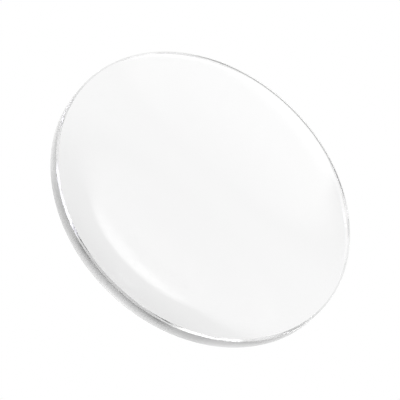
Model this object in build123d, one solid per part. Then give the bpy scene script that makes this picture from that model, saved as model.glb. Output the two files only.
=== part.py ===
from build123d import *
import math
import os

# A round watch crystal: one disc of clear sapphire, domed on top and ground round its edge.
# The underside lies on the XY plane, its centre is the origin, and +Z points out of the watch.

# Edge of the disc, where the case grips it
crystal_diameter = 30.0
edge_height = 1.5
upper_chamfer = 0.18
lower_chamfer = 0.15

# Outer face: one shallow dome from chamfer to chamfer
dome_radius = 90.0


def crystal_section():
    """Half of the disc's section in the XZ plane, from the axis out to the ground edge."""
    rim_reach = crystal_diameter / 2
    face_reach = rim_reach - upper_chamfer
    base_reach = rim_reach - lower_chamfer

    # The dome ends on the inner border of the upper chamfer, and stands as high as its radius makes it
    border_slope = math.asin(face_reach / dome_radius)
    dome_rise = dome_radius * (math.cos(0) - math.cos(border_slope))
    dome_top = (0, edge_height + dome_rise)

    with BuildSketch(Plane.XZ) as section:
        with BuildLine():
            dome = JernArc(dome_top, Axis.X.direction, dome_radius, -math.degrees(border_slope))
            Polyline(
                dome @ 1,
                (rim_reach, edge_height - upper_chamfer),
                (rim_reach, lower_chamfer),
                (base_reach, 0),
                (0, 0),
                dome_top,
            )
        make_face()
    return section.sketch


def crystal():
    """The whole disc, turned about its optical axis."""
    return revolve(crystal_section(), Axis.Z)


os.makedirs("parts", exist_ok=True)
export_step(crystal(), "parts/crystal.step")
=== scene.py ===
import math

import bmesh
import bpy
from mathutils import Matrix, Vector


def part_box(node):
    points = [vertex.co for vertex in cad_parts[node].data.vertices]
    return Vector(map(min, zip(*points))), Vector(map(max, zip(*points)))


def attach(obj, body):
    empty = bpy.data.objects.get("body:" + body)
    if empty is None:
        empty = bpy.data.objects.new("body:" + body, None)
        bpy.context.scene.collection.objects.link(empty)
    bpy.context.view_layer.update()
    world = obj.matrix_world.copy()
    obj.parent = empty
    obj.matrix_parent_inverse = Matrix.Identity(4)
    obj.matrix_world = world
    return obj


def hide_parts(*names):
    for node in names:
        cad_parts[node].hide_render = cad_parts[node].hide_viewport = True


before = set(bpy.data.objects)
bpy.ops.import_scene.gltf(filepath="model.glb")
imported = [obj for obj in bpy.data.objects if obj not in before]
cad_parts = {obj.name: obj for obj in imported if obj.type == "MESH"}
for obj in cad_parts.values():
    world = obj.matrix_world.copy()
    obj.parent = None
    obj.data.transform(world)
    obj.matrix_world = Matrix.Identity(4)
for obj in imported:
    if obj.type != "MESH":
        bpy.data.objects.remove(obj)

bl_info = {
    "name": "Watch Crystal",
    "version": (1, 0, 0),
    "blender": (4, 5, 0),
    "location": "View3D > Sidebar > Watch Crystal",
    "description": "A clear domed watch crystal on a white studio table",
    "category": "Object",
}

MM = 0.001
BOX_LOW, BOX_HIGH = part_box("crystal")

# The colour sockets of a Mix node go by number, because their names are also those of its other sockets
MIX_SHARE = 0
MIX_FIRST = 6
MIX_SECOND = 7
MIX_RESULT = 2


def linear(hex_colour):
    """An sRGB hex colour as linear red, green, blue and alpha."""
    channels = [int(hex_colour[i : i + 2], 16) / 255 for i in (1, 3, 5)]
    return [c / 12.92 if c <= 0.04045 else ((c + 0.055) / 1.055) ** 2.4 for c in channels] + [1.0]


def add_node(tree, kind, settings=None, links=None):
    """Adds a node, sets its properties, and fills its inputs with values or with links from other nodes."""
    node = tree.nodes.new(kind)
    for name, value in (settings or {}).items():
        setattr(node, name, value)
    for name, value in (links or {}).items():
        if isinstance(value, bpy.types.NodeSocket):
            tree.links.new(value, node.inputs[name])
        else:
            node.inputs[name].default_value = value
    return node


# Sizes and colours


class CrystalSizes(bpy.types.PropertyGroup):
    diameter: bpy.props.FloatProperty(
        name="Diameter",
        description="Across the ground edge",
        default=BOX_HIGH.x - BOX_LOW.x,
        unit="LENGTH",
    )
    edge_height: bpy.props.FloatProperty(
        name="Edge height",
        description="From the underside to the top of the upper chamfer",
        default=1.5 * MM,
        unit="LENGTH",
    )
    upper_chamfer: bpy.props.FloatProperty(
        name="Upper chamfer",
        description="Width of the chamfer above the ground edge",
        default=0.18 * MM,
        unit="LENGTH",
    )
    lower_chamfer: bpy.props.FloatProperty(
        name="Lower chamfer",
        description="Width of the chamfer below the ground edge",
        default=0.15 * MM,
        unit="LENGTH",
    )
    dome_radius: bpy.props.FloatProperty(
        name="Dome radius",
        description="Radius of the domed outer face",
        default=90 * MM,
        unit="LENGTH",
    )
    broken_edge: bpy.props.FloatProperty(
        name="Broken edge",
        description="Width that polishing takes off each sharp border",
        default=0.02 * MM,
        unit="LENGTH",
    )


class SapphireFinish(bpy.types.PropertyGroup):
    # Partly painted shade: the faint grey is slight absorption, and also darkens the table seen through the
    # crystal as its shade beneath would
    clear_and_shade_colour: bpy.props.FloatVectorProperty(
        name="Sapphire",
        description="Colour of the clear sapphire",
        subtype="COLOR",
        size=4,
        default=linear("#f9f9f9"),
    )
    edge_colour: bpy.props.FloatVectorProperty(
        name="Ground edge",
        description="Colour of the ground edge",
        subtype="COLOR",
        size=4,
        default=linear("#cacaca"),
    )
    # Painted light: the foot of the ground edge is coloured lighter, where the lit table brightens it
    painted_light_foot_colour: bpy.props.FloatVectorProperty(
        name="Foot of the edge",
        description="Colour of the ground edge at its foot",
        subtype="COLOR",
        size=4,
        default=linear("#f4f4f4"),
    )
    # Painted shade: the chamfers' grey darkens the thin line at the rim, where shade falls under the edge
    painted_shade_chamfer_colour: bpy.props.FloatVectorProperty(
        name="Chamfers",
        description="Colour of the chamfers",
        subtype="COLOR",
        size=4,
        default=linear("#e0e0e0"),
    )
    refraction: bpy.props.FloatProperty(
        name="Index of refraction",
        description="Of synthetic sapphire",
        default=1.77,
    )
    face_haze: bpy.props.FloatProperty(
        name="Polishing haze",
        description="Roughness that polishing leaves in places",
        default=0.01,
        subtype="FACTOR",
    )
    edge_roughness: bpy.props.FloatProperty(
        name="Edge roughness",
        description="Left by the fine grinding of the edge",
        default=0.08,
        subtype="FACTOR",
    )


class StudioLook(bpy.types.PropertyGroup):
    table_colour: bpy.props.FloatVectorProperty(
        name="Table",
        description="Colour of the lit table",
        subtype="COLOR",
        size=4,
        default=linear("#ffffff"),
    )
    room_colour: bpy.props.FloatVectorProperty(
        name="Room",
        description="Colour of the unlit room",
        subtype="COLOR",
        size=4,
        default=linear("#e0e0e0"),
    )
    view_height: bpy.props.FloatProperty(
        name="Camera height",
        description="Angle of the camera above the table",
        default=math.radians(50.3),
        subtype="ANGLE",
    )
    view_roll: bpy.props.FloatProperty(
        name="Camera roll",
        description="Turn of the camera about its own line of sight",
        default=math.radians(43.55),
        subtype="ANGLE",
    )
    view_distance: bpy.props.FloatProperty(
        name="Camera distance",
        description="From the camera to the crystal",
        default=500 * MM,
        unit="LENGTH",
    )


# Crystal

# Straight steps along the dome's arc and round the full turn, small enough for smooth reflections
DOME_STEPS = 32
TURN_STEPS = 288
BROKEN_EDGE_STEPS = 2
MERGE_DISTANCE = 0.0001 * MM

# Faces that meet at more than the first angle have a sharp border, and at less than the second shade as one
BORDER_ANGLE = math.radians(20)
SMOOTH_ANGLE = math.radians(4)

# The upright part of a face's normal: above the first value it is dome or underside, above the second chamfer
FACE_UPRIGHT = 0.9
CHAMFER_UPRIGHT = 0.1

# The order of the crystal's materials
POLISHED_FACE = 0
POLISHED_CHAMFER = 1
GROUND_EDGE = 2


def half_section(sizes):
    """The edges of half the disc's section, from the top of the dome round to the middle of the underside."""
    rim = sizes.diameter / 2
    border_slope = math.asin((rim - sizes.upper_chamfer) / sizes.dome_radius)
    bm = bmesh.new()
    top = bmesh.ops.create_vert(bm, co=(0, 0, 0))["vert"][0]
    turned = bmesh.ops.spin(
        bm,
        geom=[top],
        cent=(0, 0, -sizes.dome_radius),
        axis=(0, 1, 0),
        angle=border_slope,
        steps=DOME_STEPS,
        use_duplicate=False,
    )
    corner = [part for part in turned["geom_last"] if isinstance(part, bmesh.types.BMVert)][0]
    bmesh.ops.translate(bm, verts=bm.verts, vec=(0, 0, sizes.edge_height - corner.co.z))
    wall_height = sizes.edge_height - sizes.upper_chamfer - sizes.lower_chamfer
    for step in (
        (sizes.upper_chamfer, 0, -sizes.upper_chamfer),
        (0, 0, -wall_height),
        (-sizes.lower_chamfer, 0, -sizes.lower_chamfer),
        (sizes.lower_chamfer - rim, 0, 0),
    ):
        corner = bmesh.ops.extrude_vert_indiv(bm, verts=[corner])["verts"][0]
        bmesh.ops.translate(bm, verts=[corner], vec=step)
    return bm


def crystal_mesh(sizes):
    """The crystal as one closed mesh: its half section turned round the optical axis, with broken borders."""
    bm = half_section(sizes)
    bmesh.ops.spin(
        bm,
        geom=bm.verts[:] + bm.edges[:],
        cent=(0, 0, 0),
        axis=(0, 0, 1),
        angle=2 * math.pi,
        steps=TURN_STEPS,
        use_merge=True,
    )
    bmesh.ops.remove_doubles(bm, verts=bm.verts, dist=MERGE_DISTANCE)
    bmesh.ops.recalc_face_normals(bm, faces=bm.faces)
    borders = [edge for edge in bm.edges if edge.calc_face_angle(0) > BORDER_ANGLE]
    bmesh.ops.bevel(
        bm,
        geom=borders,
        offset=sizes.broken_edge,
        affect="EDGES",
        segments=BROKEN_EDGE_STEPS,
        profile=0.5,
        material=-1,
        clamp_overlap=True,
    )
    return bm


def surface_material(face):
    """Which of the crystal's materials a face has, by how far it is turned up or down."""
    upright = abs(face.normal.z)
    if upright > FACE_UPRIGHT:
        return POLISHED_FACE
    return POLISHED_CHAMFER if upright > CHAMFER_UPRIGHT else GROUND_EDGE


class CRYSTAL_OT_disc(bpy.types.Operator):
    """Make the sapphire disc in place of its plain solid"""

    bl_idname = "crystal.disc"
    bl_label = "Sapphire Disc"

    def execute(self, context):
        sizes = context.scene.crystal_sizes
        finish = context.scene.crystal_finish
        bm = crystal_mesh(sizes)
        for face in bm.faces:
            face.smooth = True
            face.material_index = surface_material(face)
        for edge in bm.edges:
            edge.smooth = edge.calc_face_angle(0) < SMOOTH_ANGLE
        mesh = bpy.data.meshes.new("watch_crystal")
        bm.to_mesh(mesh)
        bm.free()
        mesh.materials.append(polished_sapphire(finish))
        mesh.materials.append(polished_chamfer(finish))
        mesh.materials.append(ground_sapphire(finish))
        piece = bpy.data.objects.new("watch_crystal", mesh)
        context.scene.collection.objects.link(piece)
        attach(piece, "root")
        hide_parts("crystal")
        return {"FINISHED"}


# Sapphire

# Fine detail in the noise, and the range that most of its values lie in
GRAIN_DETAIL = 3
GRAIN_LOW = 0.3
GRAIN_HIGH = 0.7


def grain(tree, length, height):
    """Noise fixed to the piece, with patches of the given length along the faces and height up the edge."""
    place = add_node(tree, "ShaderNodeTexCoord")
    stretched = add_node(
        tree,
        "ShaderNodeMapping",
        links={"Vector": place.outputs["Object"], "Scale": (1 / length, 1 / length, 1 / height)},
    )
    noise = add_node(
        tree,
        "ShaderNodeTexNoise",
        links={"Vector": stretched.outputs[0], "Scale": 1, "Detail": GRAIN_DETAIL},
    )
    return noise.outputs[0]


def uneven_gloss(tree, shader, pattern, smoothest, roughest):
    """Spreads the roughness over the piece as the pattern goes."""
    roughness = add_node(
        tree,
        "ShaderNodeMapRange",
        links={
            "Value": pattern,
            "From Min": GRAIN_LOW,
            "From Max": GRAIN_HIGH,
            "To Min": smoothest,
            "To Max": roughest,
        },
    )
    tree.links.new(roughness.outputs[0], shader.inputs["Roughness"])


def wheel_marks(tree, shader, length, height, depth, strength, smoothest, roughest):
    """Marks that a wheel leaves round the disc: they stand out a little, and their gloss differs."""
    marks = grain(tree, length, height)
    uneven_gloss(tree, shader, marks, smoothest, roughest)
    bump = add_node(tree, "ShaderNodeBump", links={"Height": marks, "Strength": strength, "Distance": depth})
    tree.links.new(bump.outputs[0], shader.inputs["Normal"])


def sapphire(name, colour, finish):
    """A clear material with sapphire's refraction, and its node tree and shader."""
    material = bpy.data.materials.new(name)
    material.use_nodes = True
    shader = material.node_tree.nodes["Principled BSDF"]
    shader.inputs["Base Color"].default_value = colour
    shader.inputs["Transmission Weight"].default_value = 1
    shader.inputs["IOR"].default_value = finish.refraction
    return material, material.node_tree, shader


def polished_sapphire(finish):
    """Synthetic sapphire, polished: clear right through, mirror gloss on both faces, a trace of haze."""
    # The faint grey is partly slight absorption and partly painted shade of the table under the crystal
    material, tree, shader = sapphire("polished sapphire", finish.clear_and_shade_colour, finish)
    haze_patch = 2 * MM
    uneven_gloss(tree, shader, grain(tree, haze_patch, haze_patch), 0, finish.face_haze)
    return material


def polished_chamfer(finish):
    """Synthetic sapphire, ground and then polished: glossy, with faint marks that run round the chamfer."""
    # The chamfers' grey is painted shade, which darkens the line at the rim
    material, tree, shader = sapphire("polished sapphire chamfer", finish.painted_shade_chamfer_colour, finish)
    # Real polishing marks are far finer, and these are as coarse as they need to be to show
    wheel_marks(
        tree,
        shader,
        length=3 * MM,
        height=0.05 * MM,
        depth=0.0005 * MM,
        strength=0.1,
        smoothest=0,
        roughest=2 * finish.face_haze,
    )
    return material


def ground_sapphire(finish):
    """Synthetic sapphire, finely ground: the wheel's lines run round it, and its foot is painted lighter, a
    painted highlight of the table's light.
    """
    material, tree, shader = sapphire("finely ground sapphire", finish.edge_colour, finish)
    roughness_spread = 0.25
    # Real grinding lines are far finer, and these are as coarse as they need to be to show
    wheel_marks(
        tree,
        shader,
        length=6 * MM,
        height=0.08 * MM,
        depth=0.001 * MM,
        strength=0.2,
        smoothest=(1 - roughness_spread) * finish.edge_roughness,
        roughest=(1 + roughness_spread) * finish.edge_roughness,
    )
    # From the first height up to the second, the edge's colour turns from the lighter foot colour to the edge
    # colour: the lighter foot is painted light from the table below
    painted_light_full_below = 0.2 * MM
    painted_light_gone_above = 0.9 * MM
    place = add_node(tree, "ShaderNodeTexCoord")
    parts = add_node(tree, "ShaderNodeSeparateXYZ", links={0: place.outputs["Object"]})
    ground = add_node(
        tree,
        "ShaderNodeMapRange",
        links={"Value": parts.outputs["Z"], "From Min": painted_light_full_below, "From Max": painted_light_gone_above},
    )
    shade = add_node(
        # Painted light: the lighter foot colour blends into the edge colour up the edge
        tree,
        "ShaderNodeMix",
        {"data_type": "RGBA"},
        {MIX_SHARE: ground.outputs[0], MIX_FIRST: finish.painted_light_foot_colour, MIX_SECOND: finish.edge_colour},
    )
    tree.links.new(shade.outputs[MIX_RESULT], shader.inputs["Base Color"])
    return material


# Studio

# The boards and lights round the crystal, in degrees: back from straight overhead, and to the right
# Each one covers those before it: first the panels, then the softboxes, then the round lights
# Name, colour, brightness, first and last angle back, left, right, softness of first, last and side borders
PANELS = (
    ("white wall", "#ffffff", 1.25, 43, 54, -42, 44, 10, 5, 5),
    ("dark ceiling", "#ffffff", 0.0, -50, 34, -17, 17, 2, 5, 3),
    ("dark low wall", "#ffffff", 0.0, 64, 90, -35, 35, 6, 1, 9),
    ("wall behind the camera", "#ffffff", 1.2, -64, -42, -34, 34, 4, 4, 3),
    ("dark camera stand", "#ffffff", 0.0, -56, -44, -24, 24, 2, 2, 4),
    ("dark floor behind the camera", "#ffffff", 0.12, -90, -64, -40, 40, 1, 4, 9),
    ("left strip light", "#ffffff", 0.9, 10, 32, -52, -30, 4, 4, 4),
    ("right strip light", "#ffffff", 1.0, -25, 21, 25, 52, 4, 5, 4),
)

# Beside the camera, with angles out from a line that leans back this far, in place of angles back
SOFTBOX_LEAN = 23
SOFTBOXES = (
    ("left softbox", "#f4f2ff", 7.0, 69, 75, -66, -32, 2, 2, 3),
    ("right softbox", "#ffffff", 7.0, 69, 75, 33, 66, 2, 2, 3),
)
# Softness of the line overhead, where both softboxes end
OVERHEAD_SOFTNESS = 5

# Name, colour, brightness, angle back, angle right, half height, half width, angle back where it fades,
# softness of that fade, and softness of the border as a share of the light's size
ROUND_LIGHTS = (
    ("round lamp", "#ffffff", 2.8, 53, 0, 8, 8, 54, 6, 0.12),
    ("round softbox", "#ffffff", 1.9, 50, -2.5, 8, 12.5, 46, 7, 0.2),
)

# Half the table's side, and the gap that keeps it clear of the underside
TABLE_REACH = 2000 * MM
TABLE_GAP = 0.02 * MM

# Light that enters at the edge is thrown back many times inside the disc before it leaves
LIGHT_BOUNCES = 48

# The photo's frame, in its own pixels: its side, the crystal's diameter, and how far it is moved right and up
FRAME_SIDE = 400
FRAME_DIAMETER = 327.6
FRAME_RIGHT = 1.9
FRAME_UP = 2.2
# The width of the camera's sensor in millimetres
SENSOR_WIDTH = 36
NEAREST_SEEN = 10 * MM


def soft_step(tree, value, place, softness, falling=False):
    """Nothing before the place and one after it, or the other way round, with a soft border."""
    return add_node(
        tree,
        "ShaderNodeMapRange",
        {"interpolation_type": "SMOOTHSTEP"},
        {
            "Value": value,
            "From Min": place - softness,
            "From Max": place + softness,
            "To Min": 1 if falling else 0,
            "To Max": 0 if falling else 1,
        },
    ).outputs[0]


def overlap(tree, *covers):
    """Where all the covers are, as their product."""
    shared = covers[0]
    for cover in covers[1:]:
        shared = add_node(tree, "ShaderNodeMath", {"operation": "MULTIPLY"}, {0: shared, 1: cover}).outputs[0]
    return shared


def panel(tree, back, side, first, last, left, right, first_softness, last_softness, side_softness):
    """Where a four-sided light, or a dark board, is seen, with soft borders."""
    return overlap(
        tree,
        soft_step(tree, back, first, first_softness),
        soft_step(tree, back, last, last_softness, falling=True),
        soft_step(tree, side, left, side_softness),
        soft_step(tree, side, right, side_softness, falling=True),
    )


def round_light(tree, back, side, middle_back, middle_side, height, width, fade, fade_softness, border_share):
    """Where an oval light is seen, which fades out towards its top."""
    place = add_node(tree, "ShaderNodeCombineXYZ", links={"X": back, "Y": side})
    offset = add_node(
        tree,
        "ShaderNodeVectorMath",
        {"operation": "SUBTRACT"},
        {0: place.outputs[0], 1: (middle_back, middle_side, 0)},
    )
    share = add_node(
        tree,
        "ShaderNodeVectorMath",
        {"operation": "DIVIDE"},
        {0: offset.outputs[0], 1: (height, width, 1)},
    )
    distance = add_node(tree, "ShaderNodeVectorMath", {"operation": "LENGTH"}, {0: share.outputs[0]})
    return overlap(
        tree,
        soft_step(tree, distance.outputs["Value"], 1, border_share, falling=True),
        soft_step(tree, back, fade, fade_softness),
    )


def sight_angles(tree):
    """Where a ray goes, in radians: back from overhead, to the right, and out from the leaning line."""
    place = add_node(tree, "ShaderNodeTexCoord").outputs["Generated"]
    parts = add_node(tree, "ShaderNodeSeparateXYZ", links={0: place}).outputs
    back = add_node(tree, "ShaderNodeMath", {"operation": "ARCTAN2"}, {0: parts["Y"], 1: parts["Z"]})
    side = add_node(tree, "ShaderNodeMath", {"operation": "ARCSINE"}, {0: parts["X"]})
    lean = math.radians(SOFTBOX_LEAN)
    along = add_node(
        tree,
        "ShaderNodeVectorMath",
        {"operation": "DOT_PRODUCT"},
        {0: place, 1: (0, math.sin(lean), math.cos(lean))},
    )
    out = add_node(tree, "ShaderNodeMath", {"operation": "ARCCOSINE"}, {0: along.outputs["Value"]})
    return back.outputs[0], side.outputs[0], out.outputs[0]


def room_lights(tree):
    """Each board and light: its name, its colour, its brightness and where it is seen."""
    back, side, out = sight_angles(tree)
    for name, colour, brightness, *angles in PANELS:
        yield name, colour, brightness, panel(tree, back, side, *map(math.radians, angles))
    in_front = soft_step(tree, back, 0, math.radians(OVERHEAD_SOFTNESS), falling=True)
    for name, colour, brightness, *angles in SOFTBOXES:
        strip = panel(tree, out, side, *map(math.radians, angles))
        yield name, colour, brightness, overlap(tree, in_front, strip)
    for name, colour, brightness, *angles, border_share in ROUND_LIGHTS:
        oval = round_light(tree, back, side, *map(math.radians, angles), border_share)
        yield name, colour, brightness, oval


class CRYSTAL_OT_studio(bpy.types.Operator):
    """Make the white table, the soft lights and the camera"""

    bl_idname = "crystal.studio"
    bl_label = "Studio"

    def execute(self, context):
        look = context.scene.crystal_studio
        self.table(context, look)
        self.lights(context, look)
        self.camera(context, look)
        context.scene.view_settings.view_transform = "Standard"
        for limit in ("max_bounces", "glossy_bounces", "transmission_bounces"):
            setattr(context.scene.cycles, limit, LIGHT_BOUNCES)
        return {"FINISHED"}

    def table(self, context, look):
        """A translucent white table, lit from below, just under the crystal."""
        bm = bmesh.new()
        bmesh.ops.create_grid(bm, size=TABLE_REACH)
        bmesh.ops.translate(bm, verts=bm.verts, vec=(0, 0, -TABLE_GAP))
        mesh = bpy.data.meshes.new("light_table")
        bm.to_mesh(mesh)
        bm.free()
        material = bpy.data.materials.new("lit white acrylic")
        material.use_nodes = True
        shader = material.node_tree.nodes["Principled BSDF"]
        shader.inputs["Base Color"].default_value = linear("#000000")
        shader.inputs["Roughness"].default_value = 1
        shader.inputs["Specular IOR Level"].default_value = 0
        shader.inputs["Emission Color"].default_value = look.table_colour
        shader.inputs["Emission Strength"].default_value = 1
        mesh.materials.append(material)
        piece = bpy.data.objects.new("light_table", mesh)
        context.scene.collection.objects.link(piece)

    def lights(self, context, look):
        """A dim room with a few soft lights, which only the crystal sees, before a white backdrop."""
        world = bpy.data.worlds.new("studio")
        context.scene.world = world
        world.use_nodes = True
        tree = world.node_tree
        tree.nodes.clear()
        light = add_node(tree, "ShaderNodeRGB").outputs[0]
        light.default_value = look.room_colour
        for name, colour, brightness, cover in room_lights(tree):
            red, green, blue, alpha = linear(colour)
            shade = (red * brightness, green * brightness, blue * brightness, alpha)
            light = add_node(
                tree,
                "ShaderNodeMix",
                {"data_type": "RGBA", "label": name},
                {MIX_SHARE: cover, MIX_FIRST: light, MIX_SECOND: shade},
            ).outputs[MIX_RESULT]
        room = add_node(tree, "ShaderNodeBackground", links={"Color": light})
        backdrop = add_node(tree, "ShaderNodeBackground", links={"Color": look.table_colour})
        path = add_node(tree, "ShaderNodeLightPath")
        seen = add_node(
            tree,
            "ShaderNodeMixShader",
            links={0: path.outputs["Is Camera Ray"], 1: room.outputs[0], 2: backdrop.outputs[0]},
        )
        add_node(tree, "ShaderNodeOutputWorld", links={"Surface": seen.outputs[0]})

    def camera(self, context, look):
        """Looks down on the crystal from the front, with the frame turned as in the photo."""
        lens = bpy.data.cameras.new("camera")
        camera = bpy.data.objects.new("camera", lens)
        context.scene.collection.objects.link(camera)
        context.scene.camera = camera
        sizes = context.scene.crystal_sizes
        target = Vector((0, 0, sizes.edge_height / 2))
        back = Vector((0, -math.cos(look.view_height), math.sin(look.view_height)))
        aim = (-back).to_track_quat("-Z", "Y").to_matrix().to_4x4()
        place = Matrix.Translation(target + back * look.view_distance)
        camera.matrix_world = place @ aim @ Matrix.Rotation(look.view_roll, 4, "Z")
        filled_width = SENSOR_WIDTH * FRAME_DIAMETER / FRAME_SIDE
        lens.sensor_width = SENSOR_WIDTH
        lens.lens = filled_width * look.view_distance / sizes.diameter
        lens.shift_x = -FRAME_RIGHT / FRAME_SIDE
        lens.shift_y = -FRAME_UP / FRAME_SIDE
        lens.clip_start = NEAREST_SEEN


class CRYSTAL_PT_panel(bpy.types.Panel):
    bl_idname = "CRYSTAL_PT_panel"
    bl_label = "Watch Crystal"
    bl_space_type = "VIEW_3D"
    bl_region_type = "UI"
    bl_category = "Watch Crystal"

    def draw(self, context):
        scene = context.scene
        for group in (scene.crystal_sizes, scene.crystal_finish, scene.crystal_studio):
            box = self.layout.box()
            for name in group.__annotations__:
                box.prop(group, name)
        self.layout.operator(CRYSTAL_OT_disc.bl_idname)
        self.layout.operator(CRYSTAL_OT_studio.bl_idname)


CLASSES = (CrystalSizes, SapphireFinish, StudioLook, CRYSTAL_OT_disc, CRYSTAL_OT_studio, CRYSTAL_PT_panel)


def register():
    for kind in CLASSES:
        bpy.utils.register_class(kind)
    bpy.types.Scene.crystal_sizes = bpy.props.PointerProperty(type=CrystalSizes)
    bpy.types.Scene.crystal_finish = bpy.props.PointerProperty(type=SapphireFinish)
    bpy.types.Scene.crystal_studio = bpy.props.PointerProperty(type=StudioLook)


def unregister():
    del bpy.types.Scene.crystal_studio
    del bpy.types.Scene.crystal_finish
    del bpy.types.Scene.crystal_sizes
    for kind in reversed(CLASSES):
        bpy.utils.unregister_class(kind)


def main():
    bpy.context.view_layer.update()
    register()
    bpy.ops.crystal.disc()
    bpy.ops.crystal.studio()
    bpy.context.view_layer.update()


if __name__ == "__main__":
    main()
